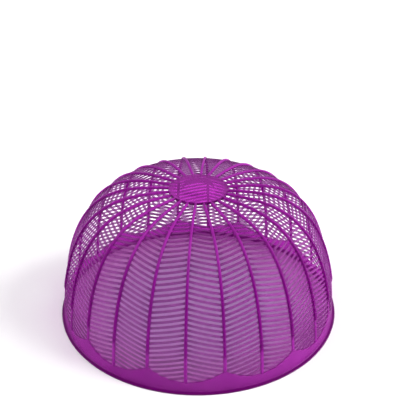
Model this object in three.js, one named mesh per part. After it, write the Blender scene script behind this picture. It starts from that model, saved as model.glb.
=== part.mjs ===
// A domed food cover, moulded in one shot from clear tinted plastic.
// The wall is an open lattice: twelve leaves, each with a raised midrib and a herringbone of
// slats on either side of it, divided by twelve raised seam ribs. A plain band with a
// scalloped top edge and a thin flange runs round the foot, and a plain crown with a low
// round boss closes the top.
//
// Millimetres, +Z up. The cover stands on z = 0 with its axis on the Z axis.
// Azimuths start at -Y, under the first midrib, and grow towards +X.

import * as THREE from 'three';

// Driving dimensions of the dome
const RIM_RADIUS = 150;
const FLANGE_REACH = 3.1;
const FLANGE_THICKNESS = 1.6;
const FLANGE_CHAMFER = 1.2;
const DOME_HEIGHT = 144.3;
const WALL_THICKNESS = 1.8;

// Exponents of the dome's profile: the first squares the shoulder and flattens the crown,
// the second rounds the wall in from the foot
const RADIUS_POWER = 4.45;
const HEIGHT_POWER = 1.88;

// The leaves and the tiers that each is made in, by the endings of their names from the band up
const LEAF_COUNT = 12;
const TIER_ENDINGS = ['', '_middle', '_top'];

// Driving dimensions of the ribs
const RIB_WIDTH = 3.6;
const RIB_RAISE = 1.2;
const RIB_DRAFT = 0.5;
const RIB_FOOT_HEIGHT = 36;
const RIB_RAMP_LENGTH = 5;

// Driving dimensions of the herringbone slats
const SLAT_PITCH = 7.4;
const SLAT_SHARE = 0.5;
const SLAT_SLOPE_DEGREES = 14;

// Driving dimensions of the scalloped band, as heights above the table
const BAND_HEIGHT = 12.2;
const SCALLOP_RISE = 11.8;

// Driving dimensions of the crown
const BOSS_RADIUS = 18.5;
const BOSS_HEIGHT = 4.6;
const BOSS_SHOULDER = 2.2;
const BOSS_DRAFT = 0.5;
const CROWN_RING_WIDTH = 12.5;

// Clearance between neighbouring pieces of the moulding
const JOINT_GAP = 0.3;

// Fineness of the facets
const PROFILE_STEPS = 4000;
const BAND_STEPS_PER_PANEL = 3;
const RIB_SEGMENTS = 12;
const CROWN_SEGMENTS = 36;
const SHOULDER_STEPS = 2;
const SEARCH_STEPS = 40;

const wallRadius = RIM_RADIUS - FLANGE_REACH;
const crownRadius = BOSS_RADIUS + CROWN_RING_WIDTH;
const leafAngle = (2 * Math.PI) / LEAF_COUNT;
const panelAngle = leafAngle / 2;
const tierCount = TIER_ENDINGS.length;
const slatSlope = Math.tan(THREE.MathUtils.degToRad(SLAT_SLOPE_DEGREES));
const ribHalfWidth = RIB_WIDTH / 2;
const crestHalfWidth = ribHalfWidth - RIB_DRAFT;

// The outer face of the wall is a superellipse turned about the Z axis:
// (radius / wallRadius)^RADIUS_POWER + (height / DOME_HEIGHT)^HEIGHT_POWER = 1.
// It is walked once from foot to crown, so that every later place on the wall can be
// given by its arc, the distance up the wall from the table.
const profile = walkProfile();

function walkProfile() {
  const points = [];
  let arc = 0;
  for (let i = 0; i <= PROFILE_STEPS; i++) {
    const t = (i / PROFILE_STEPS) * (Math.PI / 2);
    const radius = wallRadius * Math.max(Math.cos(t), 0) ** (2 / RADIUS_POWER);
    const height = DOME_HEIGHT * Math.sin(t) ** (2 / HEIGHT_POWER);
    if (i > 0) {
      arc += Math.hypot(radius - points[i - 1].radius, height - points[i - 1].height);
    }
    points.push({ arc, radius, height });
  }
  return points;
}

// The place on the profile where a measure that grows up the wall reaches a value
function findOnProfile(measure, value) {
  let low = 0;
  let high = profile.length - 1;
  while (high - low > 1) {
    const middle = (low + high) >> 1;
    if (measure(profile[middle]) < value) {
      low = middle;
    } else {
      high = middle;
    }
  }
  const a = profile[low];
  const b = profile[high];
  const span = measure(b) - measure(a);
  const share = span === 0 ? 0 : (value - measure(a)) / span;
  return {
    arc: a.arc + (b.arc - a.arc) * share,
    radius: a.radius + (b.radius - a.radius) * share,
    height: a.height + (b.height - a.height) * share,
  };
}

const atArc = (arc) => findOnProfile((point) => point.arc, arc);
const arcAtHeight = (height) => findOnProfile((point) => point.height, height).arc;
const arcAtRadius = (radius) => findOnProfile((point) => -point.radius, -radius).arc;

// The wall's outward direction in the plane of the profile
function outwardAt({ radius, height }) {
  const across = (RADIUS_POWER / wallRadius) * (radius / wallRadius) ** (RADIUS_POWER - 1);
  const up = (HEIGHT_POWER / DOME_HEIGHT) * (height / DOME_HEIGHT) ** (HEIGHT_POWER - 1);
  return new THREE.Vector2(across, up).normalize();
}

// Radius and height of a point on the wall, lifted off its outer face
function sectionPoint(arc, lift) {
  const point = atArc(arc);
  const outward = outwardAt(point);
  return new THREE.Vector2(point.radius + lift * outward.x, point.height + lift * outward.y);
}

function turn(section, azimuth) {
  return new THREE.Vector3(section.x * Math.sin(azimuth), -section.x * Math.cos(azimuth), section.y);
}

const wallPoint = (arc, azimuth, lift) => turn(sectionPoint(arc, lift), azimuth);

// The azimuth that a width along the ring takes up at a given arc
const angleOf = (width, arc) => width / atArc(arc).radius;

// The last value between low and high for which a test that starts out true still holds
function lastWhere(low, high, holds) {
  for (let step = 0; step < SEARCH_STEPS; step++) {
    const middle = (low + high) / 2;
    if (holds(middle)) {
      low = middle;
    } else {
      high = middle;
    }
  }
  return low;
}

// A closed skin of triangles, gathered face by face. Corners are given anticlockwise as seen
// from outside; a skin made for the left of a midrib is the mirror of the right, so its
// faces are turned over.
class Skin {
  constructor() {
    this.positions = [];
    this.triangles = [];
  }

  corner(point) {
    this.positions.push(point.x, point.y, point.z);
    return this.positions.length / 3 - 1;
  }

  face(corners, mirrored = false) {
    const ring = mirrored ? [...corners].reverse() : corners;
    for (let i = 1; i < ring.length - 1; i++) {
      this.triangles.push(ring[0], ring[i], ring[i + 1]);
    }
  }

  geometry() {
    const geometry = new THREE.BufferGeometry();
    geometry.setAttribute('position', new THREE.Float32BufferAttribute(this.positions, 3));
    geometry.setIndex(this.triangles);
    geometry.computeVertexNormals();
    return geometry;
  }
}

// Top edge of the band: lowest under a midrib, where share is 0, and rising as a parabola to
// a cusp under each seam rib, where share is 1. The band's facets make it a chain of chords.
const bandArc = arcAtHeight(BAND_HEIGHT);
const cuspArc = arcAtHeight(BAND_HEIGHT + SCALLOP_RISE);

function bandEdgeArc(share) {
  const scaled = Math.min(Math.max(share, 0), 1) * BAND_STEPS_PER_PANEL;
  const step = Math.min(Math.floor(scaled), BAND_STEPS_PER_PANEL - 1);
  const before = (step / BAND_STEPS_PER_PANEL) ** 2;
  const after = ((step + 1) / BAND_STEPS_PER_PANEL) ** 2;
  return bandArc + (cuspArc - bandArc) * (before + (after - before) * (scaled - step));
}

// Stations along a rib, each spanning an equal mix of length and of turn, so that the
// chords stay close to the wall on the shoulder
function ribStations(fromArc, toArc, segments) {
  const lean = (arc) => outwardAt(atArc(arc)).angle();
  const wholeTurn = lean(toArc) - lean(fromArc);
  const progress = (arc) =>
    (arc - fromArc) / (toArc - fromArc) + (lean(arc) - lean(fromArc)) / wholeTurn;
  const stations = [fromArc];
  for (let i = 1; i < segments; i++) {
    const wanted = (2 * i) / segments;
    stations.push(lastWhere(fromArc, toArc, (arc) => progress(arc) < wanted));
  }
  stations.push(toArc);
  return stations;
}

// Both kinds of rib stop a joint gap short of the crown, and their raised part fades out
// at the same height above the table
const ribTopArc = arcAtRadius(crownRadius + JOINT_GAP);
const ribFootArc = arcAtHeight(RIB_FOOT_HEIGHT);

// Rows of slats stand at one pitch from the foot of the midrib to the crown; the first row
// is one pitch up, and the last one pitch short of the crown
const midribBottomArc = bandArc + JOINT_GAP;
const latticeArc = ribTopArc - midribBottomArc;
const slatRows = Math.round(latticeArc / SLAT_PITCH) - 1;
const rowArc = (row) => midribBottomArc + (latticeArc * row) / (slatRows + 1);

// The tiers share the rows out evenly, with a joint gap across the midrib between two tiers
function tierOf(index) {
  const below = Math.round((slatRows * index) / tierCount);
  const until = Math.round((slatRows * (index + 1)) / tierCount);
  const isFirst = index === 0;
  const isLast = index === tierCount - 1;
  return {
    firstRow: below + 1,
    lastRow: until,
    bottomArc: isFirst ? midribBottomArc : rowArc(below + 0.5) + JOINT_GAP / 2,
    topArc: isLast ? ribTopArc : rowArc(until + 0.5) - JOINT_GAP / 2,
  };
}

// A slat's edge runs down from the midrib until it meets the seam rib or the band
function slatTip(rootArc) {
  const rootAngle = angleOf(ribHalfWidth, rootArc);
  const rootRadius = atArc(rootArc).radius;
  const arcAt = (angle) => rootArc - slatSlope * rootRadius * (angle - rootAngle);
  const isClear = (angle) => {
    const arc = arcAt(angle);
    const clearOfSeam = angle < panelAngle - angleOf(ribHalfWidth + JOINT_GAP, arc);
    return clearOfSeam && arc > bandEdgeArc(angle / panelAngle) + JOINT_GAP;
  };
  const angle = lastWhere(rootAngle, panelAngle, isClear);
  return { angle, arc: arcAt(angle) };
}

// One slat, grown from four corners on the midrib's flank
function addSlat(skin, midribAzimuth, side, root) {
  const mirrored = side < 0;
  const low = slatTip(root.lowArc);
  const high = slatTip(root.highArc);
  const tip = (edge, lift) =>
    skin.corner(wallPoint(edge.arc, midribAzimuth + side * edge.angle, lift));
  const lowOuter = tip(low, 0);
  const lowInner = tip(low, -WALL_THICKNESS);
  const highOuter = tip(high, 0);
  const highInner = tip(high, -WALL_THICKNESS);
  skin.face([root.lowOuter, lowOuter, highOuter, root.highOuter], mirrored);
  skin.face([lowInner, root.lowInner, root.highInner, highInner], mirrored);
  skin.face([root.lowInner, lowInner, lowOuter, root.lowOuter], mirrored);
  skin.face([root.highOuter, highOuter, highInner, root.highInner], mirrored);
  skin.face([lowOuter, lowInner, highInner, highOuter], mirrored);
}

// One tier of a leaf: the midrib is a bar with slats growing out of both flanks, and its
// raised crest is a coarser strip stitched to the finer edges below it. The crest runs the
// whole length of a tier, or rises from the rib's foot in the tier that holds the foot.
function leafGeometry(azimuth, { firstRow, lastRow, bottomArc, topArc }) {
  const skin = new Skin();
  const stations = [bottomArc];
  for (let row = firstRow; row <= lastRow; row++) {
    stations.push(rowArc(row - SLAT_SHARE / 2));
    stations.push(rowArc(row + SLAT_SHARE / 2));
  }
  stations.push(topArc);
  const last = stations.length - 1;
  const rooted = (index) => index % 2 === 1 && index < last;

  const edge = (side, lift, halfWidth) => (arc) =>
    skin.corner(wallPoint(arc, azimuth + side * angleOf(halfWidth, arc), lift));
  const sides = [-1, 1].map((side) => ({
    side,
    inner: stations.map(edge(side, -WALL_THICKNESS, ribHalfWidth)),
    outer: stations.map(edge(side, 0, ribHalfWidth)),
  }));
  const [left, right] = sides;

  const nearest = (arc) => {
    const gaps = stations.map((station) => Math.abs(station - arc));
    return gaps.indexOf(Math.min(...gaps));
  };
  const foot = nearest(ribFootArc);
  const hasFoot = foot > 0;
  const crestFrom = hasFoot ? stations[foot] + RIB_RAMP_LENGTH : bottomArc;
  const crestStations = ribStations(crestFrom, topArc, RIB_SEGMENTS / tierCount)
    .map(nearest)
    .filter((station, i, all) => !(hasFoot && station === foot) && station !== all[i - 1]);
  for (const part of sides) {
    part.crest = crestStations.map((i) => edge(part.side, RIB_RAISE, crestHalfWidth)(stations[i]));
  }

  for (let i = 0; i < last; i++) {
    skin.face([right.inner[i], left.inner[i], left.inner[i + 1], right.inner[i + 1]]);
    if (i < foot) {
      skin.face([left.outer[i], right.outer[i], right.outer[i + 1], left.outer[i + 1]]);
    }
    for (const { side, inner, outer } of sides) {
      if (rooted(i)) {
        addSlat(skin, azimuth, side, {
          lowArc: stations[i],
          highArc: stations[i + 1],
          lowInner: inner[i],
          lowOuter: outer[i],
          highInner: inner[i + 1],
          highOuter: outer[i + 1],
        });
      } else {
        skin.face([outer[i], inner[i], inner[i + 1], outer[i + 1]], side < 0);
      }
    }
  }

  if (hasFoot) {
    skin.face([left.outer[foot], right.outer[foot], right.crest[0], left.crest[0]]);
  }
  for (const { side, outer, crest } of sides) {
    let at = foot;
    for (let c = 0; c < crest.length; c++) {
      const nextCrest = crestStations[c + 1];
      const until = nextCrest === undefined ? last : (crestStations[c] + nextCrest) >> 1;
      for (; at < until; at++) {
        skin.face([crest[c], outer[at], outer[at + 1]], side < 0);
      }
      if (nextCrest !== undefined) {
        skin.face([crest[c], outer[at], crest[c + 1]], side < 0);
      }
    }
  }
  for (let c = 0; c < crestStations.length - 1; c++) {
    skin.face([left.crest[c], right.crest[c], right.crest[c + 1], left.crest[c + 1]]);
  }

  const crestBelow = hasFoot ? [] : [right.crest[0], left.crest[0]];
  skin.face([left.outer[0], left.inner[0], right.inner[0], right.outer[0], ...crestBelow]);
  skin.face([
    left.outer[last],
    left.crest[left.crest.length - 1],
    right.crest[right.crest.length - 1],
    right.outer[last],
    right.inner[last],
    left.inner[last],
  ]);
  return skin.geometry();
}

// A seam rib: a drafted bar from the cusp of the band to the crown, flush with the wall up
// to the foot height and raised above it
function seamRibGeometry(azimuth) {
  const skin = new Skin();
  const rampTop = ribFootArc + RIB_RAMP_LENGTH;
  const stations = [cuspArc + JOINT_GAP, ribFootArc, ...ribStations(rampTop, ribTopArc, RIB_SEGMENTS)];
  const rings = stations.map((arc) => {
    const raised = arc >= rampTop;
    const lift = raised ? RIB_RAISE : 0;
    const outerHalf = raised ? crestHalfWidth : ribHalfWidth;
    const corner = (side, halfWidth, height) =>
      skin.corner(wallPoint(arc, azimuth + side * angleOf(halfWidth, arc), height));
    return [
      corner(-1, ribHalfWidth, -WALL_THICKNESS),
      corner(1, ribHalfWidth, -WALL_THICKNESS),
      corner(1, outerHalf, lift),
      corner(-1, outerHalf, lift),
    ];
  });
  for (let i = 0; i < rings.length - 1; i++) {
    for (let side = 0; side < 4; side++) {
      const next = (side + 1) % 4;
      skin.face([rings[i][next], rings[i][side], rings[i + 1][side], rings[i + 1][next]]);
    }
  }
  skin.face(rings[0]);
  skin.face([...rings[rings.length - 1]].reverse());
  return skin.geometry();
}

// The band: a ring whose section is carried round the foot, with the top of each section
// set to the height of the scallop there
function rimBandGeometry() {
  const skin = new Skin();
  const columns = LEAF_COUNT * 2 * BAND_STEPS_PER_PANEL;
  const footTop = FLANGE_THICKNESS + FLANGE_CHAMFER;
  const rings = [];
  for (let column = 0; column < columns; column++) {
    const panels = column / BAND_STEPS_PER_PANEL;
    const fromMidrib = Math.abs(panels - 2 * Math.round(panels / 2));
    const edgeArc = bandEdgeArc(fromMidrib);
    const wallFoot = sectionPoint(arcAtHeight(FLANGE_THICKNESS), 0);
    const section = [
      new THREE.Vector2(RIM_RADIUS, 0),
      new THREE.Vector2(RIM_RADIUS, FLANGE_THICKNESS),
      new THREE.Vector2(wallFoot.x + FLANGE_CHAMFER, FLANGE_THICKNESS),
      sectionPoint(arcAtHeight(footTop), 0),
      sectionPoint((arcAtHeight(footTop) + edgeArc) / 2, 0),
      sectionPoint(edgeArc, 0),
      sectionPoint(edgeArc, -WALL_THICKNESS),
      new THREE.Vector2(wallRadius - WALL_THICKNESS, 0),
    ];
    const azimuth = (column / columns) * 2 * Math.PI;
    rings.push(section.map((point) => skin.corner(turn(point, azimuth))));
  }
  for (let column = 0; column < columns; column++) {
    const here = rings[column];
    const there = rings[(column + 1) % columns];
    for (let i = 0; i < here.length; i++) {
      const next = (i + 1) % here.length;
      skin.face([here[i], there[i], there[next], here[next]]);
    }
  }
  return skin.geometry();
}

// The crown: a plain ring that gathers the ribs' tops, stepping up into a low round boss
// that is hollow below
function crownGeometry() {
  const ringArc = arcAtRadius(crownRadius);
  const bossArc = arcAtRadius(BOSS_RADIUS);
  const top = DOME_HEIGHT + BOSS_HEIGHT;
  const flatRadius = BOSS_RADIUS - BOSS_DRAFT - BOSS_SHOULDER;
  const hollowRadius = BOSS_RADIUS - WALL_THICKNESS;
  const outline = [
    new THREE.Vector2(0, top - WALL_THICKNESS),
    new THREE.Vector2(flatRadius, top - WALL_THICKNESS),
    new THREE.Vector2(hollowRadius, DOME_HEIGHT),
    sectionPoint(arcAtRadius(hollowRadius), -WALL_THICKNESS),
    sectionPoint(ringArc, -WALL_THICKNESS),
    sectionPoint(ringArc, RIB_RAISE),
    sectionPoint(bossArc, RIB_RAISE),
  ];
  for (let i = 0; i <= SHOULDER_STEPS; i++) {
    const angle = (i / SHOULDER_STEPS) * (Math.PI / 2);
    const out = flatRadius + BOSS_SHOULDER * Math.cos(angle);
    const up = top - BOSS_SHOULDER * (1 - Math.sin(angle));
    outline.push(new THREE.Vector2(out, up));
  }
  outline.push(new THREE.Vector2(0, top));
  const geometry = new THREE.LatheGeometry(outline, CROWN_SEGMENTS);
  geometry.rotateX(Math.PI / 2);
  return geometry;
}

// Clear magenta plastic, one finish for the whole moulding; each kind of piece has its own
// material so that its tone can be set apart
function tintedPlastic(color) {
  return new THREE.MeshStandardMaterial({
    color,
    roughness: 0.35,
    metalness: 0,
    transparent: true,
    opacity: 0.75,
  });
}

const cover = new THREE.Group();
cover.name = 'food_cover';

function addPiece(name, geometry, color) {
  const piece = new THREE.Mesh(geometry, tintedPlastic(color));
  piece.name = name;
  cover.add(piece);
}

const twoDigits = (number) => String(number).padStart(2, '0');

addPiece('rim_band', rimBandGeometry(), 0x8a2690);
addPiece('crown', crownGeometry(), 0x8a2690);
for (let leaf = 0; leaf < LEAF_COUNT; leaf++) {
  TIER_ENDINGS.forEach((ending, index) => {
    const tier = leafGeometry(leaf * leafAngle, tierOf(index));
    addPiece(`leaf_${twoDigits(leaf + 1)}${ending}`, tier, 0x9a4aa4);
  });
  addPiece(`seam_rib_${twoDigits(leaf + 1)}`, seamRibGeometry((leaf + 0.5) * leafAngle), 0x7c1378);
}

export default cover;
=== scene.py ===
import math

import bmesh
import bpy
import numpy as np
from mathutils import Matrix, Vector


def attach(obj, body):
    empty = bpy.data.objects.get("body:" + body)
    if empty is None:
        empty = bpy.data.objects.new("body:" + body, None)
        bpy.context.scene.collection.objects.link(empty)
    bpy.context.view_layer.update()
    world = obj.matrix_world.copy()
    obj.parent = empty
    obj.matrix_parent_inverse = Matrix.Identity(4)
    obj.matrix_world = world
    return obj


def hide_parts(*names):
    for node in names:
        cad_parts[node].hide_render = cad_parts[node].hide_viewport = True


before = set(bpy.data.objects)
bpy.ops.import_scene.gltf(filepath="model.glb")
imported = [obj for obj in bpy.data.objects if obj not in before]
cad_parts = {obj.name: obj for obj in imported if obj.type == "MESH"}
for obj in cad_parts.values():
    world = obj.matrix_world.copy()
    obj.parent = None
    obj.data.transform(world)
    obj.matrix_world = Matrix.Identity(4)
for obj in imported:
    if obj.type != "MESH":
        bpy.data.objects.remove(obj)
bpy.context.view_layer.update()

# A domed food cover of clear magenta plastic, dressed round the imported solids. Metres, +Z
# up. The cover stands on z = 0. Azimuths start at -Y, under the first midrib, and grow to
# +X. A place on the wall is given by its arc, which is the distance up the wall from the
# table, by its azimuth and by its lift off the wall's outer face.

# Sizes of the dome, as in the part's source
RIM_RADIUS = 0.150
FLANGE_REACH = 0.0031
FLANGE_THICKNESS = 0.0016
DOME_HEIGHT = 0.1443
WALL_THICKNESS = 0.0018
RADIUS_POWER = 4.45
HEIGHT_POWER = 1.88

# The leaves, and the endings of the names of the three solids that each one dresses
LEAF_COUNT = 12
TIER_ENDINGS = ("", "_middle", "_top")

# Sizes of the ribs. Below its foot a rib is flush with the wall. It narrows to the top
# share of its width on its way to the crown, and to the crest share from wall to crest.
RIB_WIDTH = 0.0036
RIB_TOP_SHARE = 0.85
RIB_RAISE = 0.0012
RIB_CREST_SHARE = 0.72
RIB_FOOT_HEIGHT = 0.036
RIB_RAMP_LENGTH = 0.005

# Sizes of the slats, which take up this share of their pitch
SLAT_PITCH = 0.00517
SLAT_SHARE = 0.50
SLAT_THICKNESS = 0.0011
SLAT_SLOPE_DEGREES = 14

# How round the sections of slats and ribs are: a circle at 1, a square towards 0
SLAT_ROUNDNESS = 0.5
RIB_ROUNDNESS = 0.55

# How far a slat or rib runs into the member that it grows from
ROOT_DEPTH = 0.0003

# Sizes of the band. Its edge is BAND_HEIGHT above the table under each midrib and rises
# from there to a cusp under each seam rib.
BAND_HEIGHT = 0.0122
SCALLOP_RISE = 0.0118
BAND_EDGE_ROUND = 0.0005
FLANGE_EDGE_ROUND = 0.0006
FLANGE_FILLET = 0.0012

# Sizes of the crown
BOSS_RADIUS = 0.0185
BOSS_HEIGHT = 0.0046
BOSS_SHOULDER = 0.0022
BOSS_FILLET = 0.0010
BOSS_INNER_ROUND = 0.0010
CROWN_RING_WIDTH = 0.0125
CROWN_EDGE_ROUND = 0.0006

# Fineness of the meshes
PROFILE_STEPS = 600
SLAT_SIDES = 12
SLAT_STEPS = 5
RIB_SIDES = 12
RIB_STEPS = 90
BAND_STEPS_PER_LEAF = 32
BAND_WALL_STEPS = 8
CROWN_STEPS = 96
CROWN_RING_STEPS = 6
BOSS_SHOULDER_STEPS = 6
ROUND_STEPS = 4
MERGE_DISTANCE = 1e-6

# The attribute edge carries painted shade: a dark line painted on the rims of flange and
# crown, and less on the scallops
RIM_PAINTED_SHADE = 1.0
SCALLOP_PAINTED_SHADE = 0.45

# The shoulder, where the wall turns in, lies between these heights
SHOULDER_HEIGHTS = (0.100, 0.134)

# The plastic's noise, wide clouds and a fine grain, and how much they vary
NOISE_MIDDLE = 0.5
CLOUD_SCALE = 28.0
CLOUD_DETAIL = 3.0
GRAIN_SCALE = 900.0
GRAIN_DETAIL = 2.0
FLOW_BOUNDS = (0.35, 0.65)
FLOW_LIGHTENING = 0.2
BUMP_STRENGTH = 0.12
BUMP_DEPTH = 0.0002
BUMP_GRAIN = 0.4
ROUGHNESS_GRAIN = 0.12
ROUGHNESS_CLOUDS = 0.1
OPACITY_CLOUDS = 0.12

# The plastic's surface, and how much less light passes where the attribute edge is 1, which
# deepens the painted shade on the rims
REFRACTIVE_INDEX = 1.49
SPECULAR_LEVEL = 0.08
OPACITY_AT_PAINTED_SHADE = 0.4

# The floor. Under the cover it has a disc of painted shade, darker and tinted lavender,
# whose tone starts to turn from the one in the middle to the one at the wall at
# PAINTED_SHADE_TURN_RADIUS.
FLOOR_REACH = 4
FLOOR_DROP = 0.0002
FLOOR_COLOR = (0.95, 0.95, 0.95)
PAINTED_SHADE_MIDDLE = (0.41, 0.245, 0.465)
PAINTED_SHADE_AT_WALL = (0.52, 0.225, 0.51)
PAINTED_SHADE_TURN_RADIUS = 0.06

# The light: the world's level on the object, and for each soft sun its name, the azimuth
# and elevation it shines from, its strength and its spread. Angles are in degrees.
WORLD_LEVEL = 0.24
SOFT_SUNS = (
    ("Overhead light", 0, 78, 0.4, 60),
    ("Right side light", 90, 24, 5.8, 56),
    ("Left side light", -92, 24, 3.1, 56),
)

# How many clear surfaces a ray may pass, because many slats lie behind one another
CLEAR_SURFACES = 48

# The photograph's camera
CAMERA_PLACE = (0.0666, -0.7780, 0.5715)
CAMERA_TURN_DEGREES = 4.76
CAMERA_PITCH_DEGREES = 29.418
CAMERA_LENS = 77.76
CAMERA_NEAREST = 0.01
SENSOR_WIDTH = 36

wall_radius = RIM_RADIUS - FLANGE_REACH
crown_radius = BOSS_RADIUS + CROWN_RING_WIDTH
leaf_angle = 2 * math.pi / LEAF_COUNT
panel_angle = leaf_angle / 2


class DomeWall:
    """The outer face of the wall, a superellipse turned about the Z axis:
    (radius / wall_radius) ** RADIUS_POWER + (height / DOME_HEIGHT) ** HEIGHT_POWER = 1."""

    def __init__(self):
        t = np.linspace(0, math.pi / 2, PROFILE_STEPS + 1)
        self.radii = wall_radius * np.cos(t).clip(0, 1) ** (2 / RADIUS_POWER)
        self.heights = DOME_HEIGHT * np.sin(t).clip(0, 1) ** (2 / HEIGHT_POWER)
        steps = np.hypot(np.diff(self.radii), np.diff(self.heights))
        self.arcs = np.concatenate([[0], np.cumsum(steps)])

    def arc_at_height(self, height):
        return float(np.interp(height, self.heights, self.arcs))

    def arc_at_radius(self, radius):
        return float(np.interp(-radius, -self.radii, self.arcs))

    def point(self, arc, lift=0.0):
        """Radius and height of a place on the wall, lifted off its outer face."""
        radius = float(np.interp(arc, self.arcs, self.radii))
        height = float(np.interp(arc, self.arcs, self.heights))
        across = RADIUS_POWER / wall_radius * (radius / wall_radius) ** (RADIUS_POWER - 1)
        up = HEIGHT_POWER / DOME_HEIGHT * (height / DOME_HEIGHT) ** (HEIGHT_POWER - 1)
        length = math.hypot(across, up)
        return Vector((radius + lift * across / length, height + lift * up / length))

    def line_mesh(self, name):
        """The profile as a chain of edges in the XZ plane, from the table to the apex."""
        mesh = bpy.data.meshes.new(name)
        corners = [(r, 0, z) for r, z in zip(self.radii, self.heights)]
        mesh.from_pydata(corners, [(i, i + 1) for i in range(PROFILE_STEPS)], [])
        return mesh


wall = DomeWall()
band_arc = wall.arc_at_height(BAND_HEIGHT)
cusp_arc = wall.arc_at_height(BAND_HEIGHT + SCALLOP_RISE)
rib_foot_arc = wall.arc_at_height(RIB_FOOT_HEIGHT)
rib_top_arc = wall.arc_at_radius(crown_radius)


class Link:
    """An output socket inside an expression. Each operator adds its Math node."""

    def __init__(self, graph, socket):
        self.graph = graph
        self.socket = socket

    def __add__(self, other):
        return self.graph.math("ADD", self, other)

    def __radd__(self, other):
        return self.graph.math("ADD", other, self)

    def __sub__(self, other):
        return self.graph.math("SUBTRACT", self, other)

    def __rsub__(self, other):
        return self.graph.math("SUBTRACT", other, self)

    def __mul__(self, other):
        return self.graph.math("MULTIPLY", self, other)

    def __rmul__(self, other):
        return self.graph.math("MULTIPLY", other, self)

    def __truediv__(self, other):
        return self.graph.math("DIVIDE", self, other)

    def __rtruediv__(self, other):
        return self.graph.math("DIVIDE", other, self)

    def __pow__(self, other):
        return self.graph.math("POWER", self, other)

    def __rpow__(self, other):
        return self.graph.math("POWER", other, self)

    def __neg__(self):
        return self.graph.math("MULTIPLY", self, -1)


class Graph:
    """Adds nodes to the tree of a material, of the world or of Geometry Nodes."""

    def __init__(self, tree):
        self.tree = tree
        tree.nodes.clear()

    def node(self, kind, settings=None, inputs=None):
        """A new node. Its settings are set first, then its sockets get values or links."""
        made = self.tree.nodes.new(kind)
        for name, value in (settings or {}).items():
            setattr(made, name, value)
        for key, value in (inputs or {}).items():
            if isinstance(value, Link):
                self.tree.links.new(value.socket, made.inputs[key])
            else:
                made.inputs[key].default_value = value
        return made

    def get(self, kind, settings=None, inputs=None, output=0):
        """The Link to one output of a new node."""
        return Link(self, self.node(kind, settings, inputs).outputs[output])

    def math(self, operation, *values):
        return self.get("ShaderNodeMath", {"operation": operation}, dict(enumerate(values)))

    def vector(self, x, y, z):
        return self.get("ShaderNodeCombineXYZ", inputs={0: x, 1: y, 2: z})

    def split(self, vector):
        parts = self.node("ShaderNodeSeparateXYZ", inputs={0: vector})
        return [Link(self, output) for output in parts.outputs]

    def color_mix(self, factor, first, second, blend="MIX"):
        """A mix of two colours, each a Link or three numbers. The Mix node has its sockets
        for colours at inputs 6 and 7 and at output 2."""
        colors = [c if isinstance(c, Link) else (*c, 1) for c in (first, second)]
        return self.get(
            "ShaderNodeMix",
            {"data_type": "RGBA", "blend_type": blend},
            {"Factor": factor, 6: colors[0], 7: colors[1]},
            output=2,
        )

    def ramp_between(self, value, low, high, start=0.0, end=1.0):
        """start below low, end above high, and a smooth step between."""
        return self.get(
            "ShaderNodeMapRange",
            {"interpolation_type": "SMOOTHSTEP"},
            {
                "Value": value,
                "From Min": low,
                "From Max": high,
                "To Min": start,
                "To Max": end,
            },
        )


def scene_object(name, data):
    """A new object, already in the scene."""
    made = bpy.data.objects.new(name, data)
    bpy.context.scene.collection.objects.link(made)
    return made


def new_material(name):
    """A new material, and the graph that its nodes go into."""
    material = bpy.data.materials.new(name)
    material.use_nodes = True
    return material, Graph(material.node_tree)


# Geometry Nodes: what the slats and the ribs share


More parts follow.
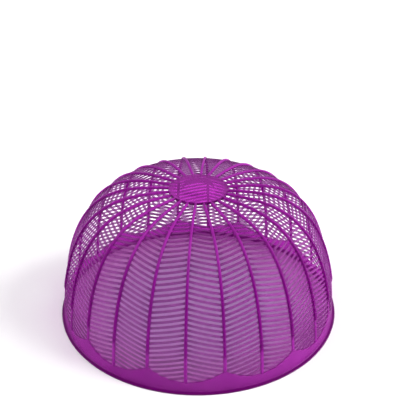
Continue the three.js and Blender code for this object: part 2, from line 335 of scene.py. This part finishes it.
class FormGraph(Graph):
    """A Geometry Nodes tree on the profile line, with named inputs for its sizes."""

    def __init__(self, name, sizes):
        tree = bpy.data.node_groups.new(name, "GeometryNodeTree")
        super().__init__(tree)
        kinds = {float: "NodeSocketFloat", int: "NodeSocketInt"}
        interface = tree.interface
        interface.new_socket("Profile", in_out="INPUT", socket_type="NodeSocketGeometry")
        for label, value in sizes.items():
            interface.new_socket(label, in_out="INPUT", socket_type=kinds[type(value)])
        interface.new_socket("Finish", in_out="INPUT", socket_type="NodeSocketMaterial")
        interface.new_socket("Form", in_out="OUTPUT", socket_type="NodeSocketGeometry")
        self.given = self.node("NodeGroupInput")
        profile = self.size("Profile")
        self.curve = self.get("GeometryNodeMeshToCurve", inputs={"Mesh": profile})

    def size(self, label):
        return Link(self, self.given.outputs[label])

    def bar(self, sides, steps):
        """A closed bar along Z, one unit long, on the unit circle."""
        return self.get(
            "GeometryNodeMeshCylinder",
            {"fill_type": "NGON"},
            {"Vertices": sides, "Side Segments": steps, "Radius": 1.0, "Depth": 1.0},
            output="Mesh",
        )

    def bar_places(self, roundness):
        """For a point of the bar: how far along it is, from 0 to 1, and where it lies on a
        section with flat sides and round corners, from -1 to 1 both ways."""
        x, y, z = self.split(self.get("GeometryNodeInputPosition"))
        across, depth = (
            self.math("SIGN", part) * self.math("ABSOLUTE", part) ** roundness
            for part in (x, y)
        )
        return z + 0.5, across, depth

    def profile_at(self, arc):
        """The node that samples the profile line this far up the wall."""
        return self.node(
            "GeometryNodeSampleCurve",
            {"mode": "LENGTH"},
            {"Curves": self.curve, "Length": arc},
        )

    def radius_at(self, arc):
        return self.split(Link(self, self.profile_at(arc).outputs["Position"]))[0]

    def on_wall(self, arc, azimuth, lift):
        """The point at a place on the wall. The wall leans in as it rises, so a lift goes
        outward by the profile's rise and up by its lean."""
        sample = self.profile_at(arc)
        radius, _, height = self.split(Link(self, sample.outputs["Position"]))
        lean, _, rise = self.split(Link(self, sample.outputs["Tangent"]))
        out = radius + lift * rise
        return self.vector(
            out * self.math("SINE", azimuth),
            -out * self.math("COSINE", azimuth),
            height - lift * lean,
        )

    def rib_half_width(self, arc):
        """Half of a rib's width, which narrows from its foot to the crown."""
        share = self.ramp_between(
            arc, self.size("Foot Arc"), self.size("Top Arc"), 1, self.size("Rib Top Share")
        )
        return self.size("Rib Width") / 2 * share

    def finish(self, form, place):
        """Moves each point of a form to its place, and gives the form its finish."""
        placed = self.get(
            "GeometryNodeSetPosition", inputs={"Geometry": form, "Position": place}
        )
        smooth = self.get("GeometryNodeSetShadeSmooth", inputs={"Geometry": placed})
        real = self.get("GeometryNodeRealizeInstances", inputs={"Geometry": smooth})
        done = self.get(
            "GeometryNodeSetMaterial",
            inputs={"Geometry": real, "Material": self.size("Finish")},
        )
        self.node("NodeGroupOutput", inputs={"Form": done})
        return self.tree


dome_sizes = {
    "Azimuth": 0.0,
    "Rib Width": RIB_WIDTH,
    "Rib Top Share": RIB_TOP_SHARE,
    "Foot Arc": rib_foot_arc,
    "Wall Thickness": WALL_THICKNESS,
    "Top Arc": rib_top_arc + ROOT_DEPTH,
    "Root Depth": ROOT_DEPTH,
}

slat_sizes = {
    **dome_sizes,
    "Rows": round((rib_top_arc - band_arc) / SLAT_PITCH) - 1,
    "Slat Share": SLAT_SHARE,
    "Slat Thickness": SLAT_THICKNESS,
    "Slat Slope": math.tan(math.radians(SLAT_SLOPE_DEGREES)),
    "Panel Angle": panel_angle,
    "Band Arc": band_arc,
    "Cusp Arc": cusp_arc,
}

rib_sizes = {
    **dome_sizes,
    "Bottom Arc": band_arc,
    "Ramp Length": RIB_RAMP_LENGTH,
    "Rib Raise": RIB_RAISE,
    "Crest Share": RIB_CREST_SHARE,
}


def slat_tree():
    """The herringbone of one leaf: slats that run down from both flanks of its midrib."""
    graph = FormGraph("Slats of a leaf", slat_sizes)
    size = graph.size

    # One bar for each slat, numbered by its row and by its side of the midrib
    points = graph.get("GeometryNodePoints", inputs={"Count": size("Rows") * 2})
    bars = graph.get(
        "GeometryNodeInstanceOnPoints",
        inputs={"Points": points, "Instance": graph.bar(SLAT_SIDES, SLAT_STEPS)},
    )
    number = graph.get("GeometryNodeInputIndex")
    numbered = graph.get(
        "GeometryNodeStoreNamedAttribute",
        {"data_type": "FLOAT", "domain": "INSTANCE"},
        {"Geometry": bars, "Name": "slat", "Value": number},
    )
    slats = graph.get("GeometryNodeRealizeInstances", inputs={"Geometry": numbered})
    slat = graph.get(
        "GeometryNodeInputNamedAttribute", {"data_type": "FLOAT"}, {"Name": "slat"}
    )
    row = graph.math("FLOOR", slat / 2)
    side = graph.math("MODULO", slat, 2) * 2 - 1

    # The rows stand at one pitch from the band, up the midrib, to the crown
    along, across, depth = graph.bar_places(SLAT_ROUNDNESS)
    climb = (row + 1 + across * side * size("Slat Share") / 2) / (size("Rows") + 1)
    root_arc = size("Band Arc") + (size("Top Arc") - size("Band Arc")) * climb

    # Each slat starts in the midrib's flank and ends in the seam rib or in the band, whose
    # edge is a parabola that rises from under the midrib to a cusp under the seam rib
    root_radius = graph.radius_at(root_arc)
    root_angle = (graph.rib_half_width(root_arc) - size("Root Depth")) / root_radius
    fall = size("Slat Slope") * root_radius
    seam_arc = root_arc - fall * size("Panel Angle")
    seam_inset = graph.rib_half_width(seam_arc) - size("Root Depth")
    seam_angle = size("Panel Angle") - seam_inset / graph.radius_at(seam_arc)
    rise = (size("Cusp Arc") - size("Band Arc")) / size("Panel Angle") ** 2
    over_band = root_arc + fall * root_angle + size("Root Depth") - size("Band Arc")
    above = graph.math("MAXIMUM", over_band, 0)
    reach = graph.math("SQRT", fall * fall + 4 * rise * above)
    scallop_angle = (reach - fall) / (2 * rise)
    tip_angle = graph.math("MINIMUM", seam_angle, scallop_angle)
    angle = root_angle + (tip_angle - root_angle) * along
    arc = root_arc - fall * (angle - root_angle)
    lift = size("Slat Thickness") / 2 * depth - size("Wall Thickness") / 2
    place = graph.on_wall(arc, size("Azimuth") + side * angle, lift)
    return graph.finish(slats, place)


def rib_tree():
    """A raised rib up the wall, drafted to its crest, that sinks flush at its foot."""
    graph = FormGraph("Rib", rib_sizes)
    size = graph.size
    along, across, depth = graph.bar_places(RIB_ROUNDNESS)
    bottom_arc = size("Bottom Arc") - size("Root Depth")
    arc = bottom_arc + (size("Top Arc") - bottom_arc) * along
    raised = graph.ramp_between(
        arc, size("Foot Arc"), size("Foot Arc") + size("Ramp Length")
    )
    height = (depth + 1) / 2
    thickness = size("Rib Raise") * raised + size("Wall Thickness")
    lift = height * thickness - size("Wall Thickness")
    draft = 1 - height * (1 - size("Crest Share")) * raised
    sideways = across * draft * graph.rib_half_width(arc) / graph.radius_at(arc)
    # The minus keeps the faces outward, because the bar's three ways end up left-handed
    place = graph.on_wall(arc, size("Azimuth") - sideways, lift)
    return graph.finish(graph.bar(RIB_SIDES, RIB_STEPS), place)


def form_piece(name, tree, sizes, finish):
    """Runs a tree on the profile line and keeps the result as a plain mesh."""
    host = scene_object(name, wall.line_mesh(name))
    modifier = host.modifiers.new("Form", "NODES")
    modifier.node_group = tree
    given = {**sizes, "Finish": finish}
    for item in tree.interface.items_tree:
        if item.in_out == "INPUT" and item.name in given:
            modifier[item.identifier] = given[item.name]
    bpy.context.view_layer.update()
    graph = bpy.context.evaluated_depsgraph_get()
    formed = bpy.data.meshes.new_from_object(host.evaluated_get(graph), depsgraph=graph)
    host.modifiers.clear()
    line = host.data
    host.data = formed
    formed.name = name
    bpy.data.meshes.remove(line)
    for attribute in [a for a in formed.attributes if a.name == "slat"]:
        formed.attributes.remove(attribute)
    return host


# Mesh code: what the band, the crown and the floor share


def arc_points(centre, radius, start_degrees, end_degrees, steps=ROUND_STEPS):
    """Points along a round corner of a section, both ends included."""
    points = []
    for i in range(steps + 1):
        turn = math.radians(start_degrees + (end_degrees - start_degrees) * i / steps)
        x = centre[0] + radius * math.cos(turn)
        y = centre[1] + radius * math.sin(turn)
        points.append(Vector((x, y)))
    return points


def turned(point, azimuth):
    """A section's point, which is a radius and a height, turned to an azimuth."""
    return Vector((point.x * math.sin(azimuth), -point.x * math.cos(azimuth), point.y))


def ring_mesh(name, sections, edges):
    """A closed ring through sections that are given at equal steps round the Z axis. For
    the points of a section that lie on an edge, edges gives their value of the attribute
    edge, which is the strength of the painted shade on the rims."""
    shape = bmesh.new()
    edge = shape.verts.layers.float.new("edge")
    columns = len(sections)
    rings = []
    for column, section in enumerate(sections):
        azimuth = 2 * math.pi * column / columns
        rings.append([shape.verts.new(turned(point, azimuth)) for point in section])
        for i, value in edges.items():
            rings[-1][i][edge] = value
    for column in range(columns):
        here, there = rings[column], rings[(column + 1) % columns]
        for i in range(len(here)):
            j = (i + 1) % len(here)
            shape.faces.new((here[i], there[i], there[j], here[j]))
    return shape_object(name, shape)


def shape_object(name, shape):
    """A smooth object from a bmesh, with its faces outward and doubled points merged."""
    bmesh.ops.remove_doubles(shape, verts=shape.verts, dist=MERGE_DISTANCE)
    bmesh.ops.recalc_face_normals(shape, faces=shape.faces)
    mesh = bpy.data.meshes.new(name)
    shape.to_mesh(mesh)
    shape.free()
    mesh.shade_smooth()
    return scene_object(name, mesh)


def band_section(share):
    """The band's section where the scallop has risen by this share of its parabola, and the
    edge values of its points, which set the painted shade on its rims."""
    outer_foot = FLANGE_THICKNESS + FLANGE_FILLET
    start = wall.arc_at_height(outer_foot)
    end = band_arc + (cusp_arc - band_arc) * share - BAND_EDGE_ROUND
    rim_x = RIM_RADIUS - FLANGE_EDGE_ROUND
    rim_y = FLANGE_THICKNESS - FLANGE_EDGE_ROUND
    fillet_x = wall.point(start).x + FLANGE_FILLET

    # The flange. Its rim of painted dark shade starts after the point on the table and ends
    # in its fillet, before the last two points.
    points = arc_points((rim_x, FLANGE_EDGE_ROUND), FLANGE_EDGE_ROUND, -90, 0)
    points += arc_points((rim_x, rim_y), FLANGE_EDGE_ROUND, 0, 90)
    points += arc_points((fillet_x, outer_foot), FLANGE_FILLET, 270, 180)
    edges = dict.fromkeys(range(1, len(points) - 2), RIM_PAINTED_SHADE)

    # The wall's outer face, its rounded top up to the inner face, and the inner face
    for i in range(1, BAND_WALL_STEPS + 1):
        points.append(wall.point(start + (end - start) * i / BAND_WALL_STEPS))
    wall_top = len(points)
    for i in range(1, ROUND_STEPS + 1):
        turn = i / ROUND_STEPS * math.pi / 2
        drop = BAND_EDGE_ROUND * (1 - math.cos(turn))
        points.append(wall.point(end + BAND_EDGE_ROUND * math.sin(turn), -drop))
    for i in range(ROUND_STEPS + 1):
        turn = i / ROUND_STEPS * math.pi / 2
        drop = WALL_THICKNESS - BAND_EDGE_ROUND * (1 - math.sin(turn))
        points.append(wall.point(end + BAND_EDGE_ROUND * math.cos(turn), -drop))
    # The scallop's rounded top gets a lighter painted dark shade
    edges.update(dict.fromkeys(range(wall_top, len(points) - 1), SCALLOP_PAINTED_SHADE))
    for i in range(1, BAND_WALL_STEPS):
        points.append(wall.point(end * (1 - i / BAND_WALL_STEPS), -WALL_THICKNESS))
    points.append(Vector((wall_radius - WALL_THICKNESS, 0)))
    return points, edges


def rim_band_piece():
    """The band round the foot, with its flange and its scalloped edge. All its sections
    have the same order of points, so the same edge values of painted rim shade."""
    sections = []
    for column in range(LEAF_COUNT * BAND_STEPS_PER_LEAF):
        leaves = column / BAND_STEPS_PER_LEAF
        from_midrib = 2 * abs(leaves - round(leaves))
        section, edges = band_section(from_midrib ** 2)
        sections.append(section)
    return ring_mesh("rim_band_clear", sections, edges)


def crown_piece():
    """The plain ring that gathers the ribs, and the low round boss on it, hollow below."""
    top = DOME_HEIGHT + BOSS_HEIGHT
    shoulder_y = top - BOSS_SHOULDER
    ring_arc = wall.arc_at_radius(crown_radius)
    edge_arc = ring_arc + CROWN_EDGE_ROUND
    boss_arc = wall.arc_at_radius(BOSS_RADIUS + BOSS_FILLET)
    fillet_y = wall.point(boss_arc, RIB_RAISE).y + BOSS_FILLET
    inner_arc = wall.arc_at_radius(BOSS_RADIUS - WALL_THICKNESS)
    under = wall.point(inner_arc, -WALL_THICKNESS)

    # The boss, from the axis down to the ring
    boss_x = BOSS_RADIUS - BOSS_SHOULDER
    outline = [Vector((0, top))]
    outline += arc_points((boss_x, shoulder_y), BOSS_SHOULDER, 90, 0, BOSS_SHOULDER_STEPS)
    outline += arc_points((BOSS_RADIUS + BOSS_FILLET, fillet_y), BOSS_FILLET, 180, 270)

    # The ring, out to its rim of painted dark shade and down
    for i in range(1, CROWN_RING_STEPS + 1):
        arc = boss_arc + (edge_arc - boss_arc) * i / CROWN_RING_STEPS
        outline.append(wall.point(arc, RIB_RAISE))
    ring_rim = len(outline)
    for i in range(1, ROUND_STEPS + 1):
        turn = i / ROUND_STEPS * math.pi / 2
        slide = CROWN_EDGE_ROUND * (1 - math.sin(turn))
        drop = CROWN_EDGE_ROUND * (1 - math.cos(turn))
        outline.append(wall.point(ring_arc + slide, RIB_RAISE - drop))
    outline.append(wall.point(ring_arc, -WALL_THICKNESS))
    edges = dict.fromkeys(range(ring_rim, len(outline)), RIM_PAINTED_SHADE)

    # The underside, back to the axis inside the boss
    outline.append(wall.point((ring_arc + inner_arc) / 2, -WALL_THICKNESS))
    outline.append(under)
    outline.append(Vector((under.x, shoulder_y)))
    inner_x = under.x - BOSS_INNER_ROUND
    outline += arc_points((inner_x, shoulder_y), BOSS_INNER_ROUND, 0, 90)[1:]
    outline.append(Vector((0, outline[-1].y)))
    return ring_mesh("crown_clear", [outline] * CROWN_STEPS, edges)


# Finishes


def clear_plastic(name, color, painted_band_and_rim_color, clear_tint, opacity, roughness):
    """Clear tinted plastic: part of the light passes, and the rest meets a glossy surface.
    It has its painted band and rim colour from the feet of the ribs up to the shoulder of
    the dome, and where the mesh has its edge attribute. That colour is painted light and
    shade by height, on the ribs partly the deeper tone of their raised plastic, and on the
    rims painted shade."""
    material, graph = new_material(name)
    place = graph.get("ShaderNodeTexCoord", output="Object")
    height = graph.split(place)[2]

    clouds = graph.get(
        "ShaderNodeTexNoise",
        inputs={"Vector": place, "Scale": CLOUD_SCALE, "Detail": CLOUD_DETAIL},
    )
    grain = graph.get(
        "ShaderNodeTexNoise",
        inputs={"Vector": place, "Scale": GRAIN_SCALE, "Detail": GRAIN_DETAIL},
    )
    cloudiness = clouds - NOISE_MIDDLE
    graininess = grain - NOISE_MIDDLE
    flow = graph.ramp_between(clouds, *FLOW_BOUNDS)

    # Painted light and shade: the mask thick is a band by height from the ribs' feet to the
    # shoulder, and the marked rims
    raised = graph.ramp_between(height, RIB_FOOT_HEIGHT, RIB_FOOT_HEIGHT + RIB_RAMP_LENGTH)
    shoulder = graph.ramp_between(height, *SHOULDER_HEIGHTS, 1, 0)
    edge = graph.get("ShaderNodeAttribute", {"attribute_name": "edge"}, output="Fac")
    thick = graph.math("MAXIMUM", raised * shoulder, edge)
    tone = graph.color_mix(thick, color, painted_band_and_rim_color)
    tone = graph.color_mix(flow * FLOW_LIGHTENING, tone, (1, 1, 1), "SOFT_LIGHT")
    bump = graph.get(
        "ShaderNodeBump",
        inputs={
            "Strength": BUMP_STRENGTH,
            "Distance": BUMP_DEPTH,
            "Height": grain * BUMP_GRAIN + clouds,
        },
    )
    skin = graph.get(
        "ShaderNodeBsdfPrincipled",
        inputs={
            "Base Color": tone,
            "Roughness": (
                roughness + graininess * ROUGHNESS_GRAIN + cloudiness * ROUGHNESS_CLOUDS
            ),
            "Normal": bump,
            "IOR": REFRACTIVE_INDEX,
            "Specular IOR Level": SPECULAR_LEVEL,
        },
    )
    passing = graph.get("ShaderNodeBsdfTransparent", inputs={"Color": (*clear_tint, 1)})
    opaque = opacity + cloudiness * OPACITY_CLOUDS + edge * OPACITY_AT_PAINTED_SHADE
    body = graph.get("ShaderNodeMixShader", inputs={0: opaque, 1: passing, 2: skin})
    graph.node("ShaderNodeOutputMaterial", inputs={"Surface": body})
    return material


# The slats' painted light and shade by height: lighter between the ribs' feet and the
# shoulder, darker below and above
slat_finish = clear_plastic(
    "Clear magenta plastic, thin slats",
    color=(0.26, 0.04, 0.255),
    painted_band_and_rim_color=(0.33, 0.048, 0.33),
    clear_tint=(0.68, 0.51, 0.70),
    opacity=0.38,
    roughness=0.34,
)
# On the ribs the darker colour from their feet to the shoulder is partly the deeper tone of
# raised plastic and partly painted shade; their lighter tops above the shoulder are painted
# light
rib_finish = clear_plastic(
    "Clear magenta plastic, thick ribs",
    color=(0.38, 0.025, 0.38),
    painted_band_and_rim_color=(0.24, 0.003, 0.24),
    clear_tint=(0.60, 0.05, 0.61),
    opacity=0.44,
    roughness=0.30,
)
# On the band and the crown the darker colour is only painted shade, the dark line on the
# rims and scallops
band_finish = clear_plastic(
    "Clear magenta plastic, plain band",
    color=(0.36, 0.038, 0.35),
    painted_band_and_rim_color=(0.10, 0.001, 0.097),
    clear_tint=(0.71, 0.19, 0.72),
    opacity=0.34,
    roughness=0.32,
)


# The pieces


def place_piece(piece, material_slot, *nodes):
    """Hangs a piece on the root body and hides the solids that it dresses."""
    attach(piece, "root")
    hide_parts(*nodes)


slat_form = slat_tree()
rib_form = rib_tree()

for leaf in range(LEAF_COUNT):
    number = f"{leaf + 1:02d}"
    tiers = [f"leaf_{number}{ending}" for ending in TIER_ENDINGS]
    at_middle = {"Azimuth": leaf * leaf_angle}
    at_seam = {"Azimuth": (leaf + 0.5) * leaf_angle, "Bottom Arc": cusp_arc}
    slats = form_piece(
        f"slats_{number}", slat_form, {**slat_sizes, **at_middle}, slat_finish
    )
    midrib = form_piece(
        f"midrib_{number}", rib_form, {**rib_sizes, **at_middle}, rib_finish
    )
    seam_rib = form_piece(
        f"seam_rib_clear_{number}", rib_form, {**rib_sizes, **at_seam}, rib_finish
    )
    place_piece(slats, "slat_plastic", *tiers)
    place_piece(midrib, "rib_plastic", *tiers)
    place_piece(seam_rib, "rib_plastic", f"seam_rib_{number}")

for piece, node in ((rim_band_piece(), "rim_band"), (crown_piece(), "crown")):
    piece.data.materials.append(band_finish)
    place_piece(piece, "band_plastic", node)


# Floor, light and camera


def plain_floor():
    """A pale matt floor just under the cover, with the disc of painted shade under the
    cover in its own material.
    """
    shape = bmesh.new()
    bmesh.ops.create_grid(shape, x_segments=1, y_segments=1, size=FLOOR_REACH)
    floor = shape_object("floor", shape)
    floor.location.z = -FLOOR_DROP
    material, graph = new_material("White floor")
    x, y, _ = graph.split(graph.get("ShaderNodeTexCoord", output="Object"))
    from_axis = (x * x + y * y) ** 0.5
    # Painted shade: under the cover the floor's colour turns darker and lavender, from the
    # middle out to the wall
    outward = graph.ramp_between(from_axis, PAINTED_SHADE_TURN_RADIUS, wall_radius)
    painted_floor_shade = graph.color_mix(outward, PAINTED_SHADE_MIDDLE, PAINTED_SHADE_AT_WALL)
    under = graph.ramp_between(from_axis, wall_radius - WALL_THICKNESS, wall_radius, 1, 0)
    tone = graph.color_mix(under, FLOOR_COLOR, painted_floor_shade)
    matt = graph.get("ShaderNodeBsdfDiffuse", inputs={"Color": tone})
    graph.node("ShaderNodeOutputMaterial", inputs={"Surface": matt})
    floor.data.materials.append(material)


def white_world():
    """Lights the object at a plain level and shows white behind it."""
    world = bpy.data.worlds.new("White studio")
    world.use_nodes = True
    bpy.context.scene.world = world
    graph = Graph(world.node_tree)
    path = graph.node("ShaderNodeLightPath")
    camera, glossy, passing = (
        Link(graph, path.outputs[f"Is {kind} Ray"])
        for kind in ("Camera", "Glossy", "Transmission")
    )
    shown = graph.math("MAXIMUM", graph.math("MAXIMUM", camera, glossy), passing)
    level = WORLD_LEVEL + (1 - WORLD_LEVEL) * shown
    sky = graph.get(
        "ShaderNodeBackground", inputs={"Color": (1, 1, 1, 1), "Strength": level}
    )
    graph.node("ShaderNodeOutputWorld", inputs={"Surface": sky})


def soft_sun(name, azimuth_degrees, elevation_degrees, strength, spread_degrees):
    lamp = bpy.data.lights.new(name, "SUN")
    lamp.energy = strength
    lamp.angle = math.radians(spread_degrees)
    holder = scene_object(name, lamp)
    azimuth, elevation = math.radians(azimuth_degrees), math.radians(elevation_degrees)
    out = math.cos(elevation)
    away = Vector((math.sin(azimuth) * out, -math.cos(azimuth) * out, math.sin(elevation)))
    holder.rotation_euler = away.to_track_quat("Z", "Y").to_euler()


def photo_camera():
    lens = bpy.data.cameras.new("Photo camera")
    lens.lens = CAMERA_LENS
    lens.sensor_width = SENSOR_WIDTH
    lens.clip_start = CAMERA_NEAREST
    camera = scene_object("Photo camera", lens)
    turn = Matrix.Rotation(math.radians(CAMERA_TURN_DEGREES), 4, "Z")
    tilt = Matrix.Rotation(math.radians(90 - CAMERA_PITCH_DEGREES), 4, "X")
    camera.matrix_world = Matrix.Translation(CAMERA_PLACE) @ turn @ tilt
    bpy.context.scene.camera = camera


plain_floor()
white_world()
for sun in SOFT_SUNS:
    soft_sun(*sun)
photo_camera()
bpy.context.scene.view_settings.view_transform = "Standard"
bpy.context.scene.cycles.transparent_max_bounces = CLEAR_SURFACES
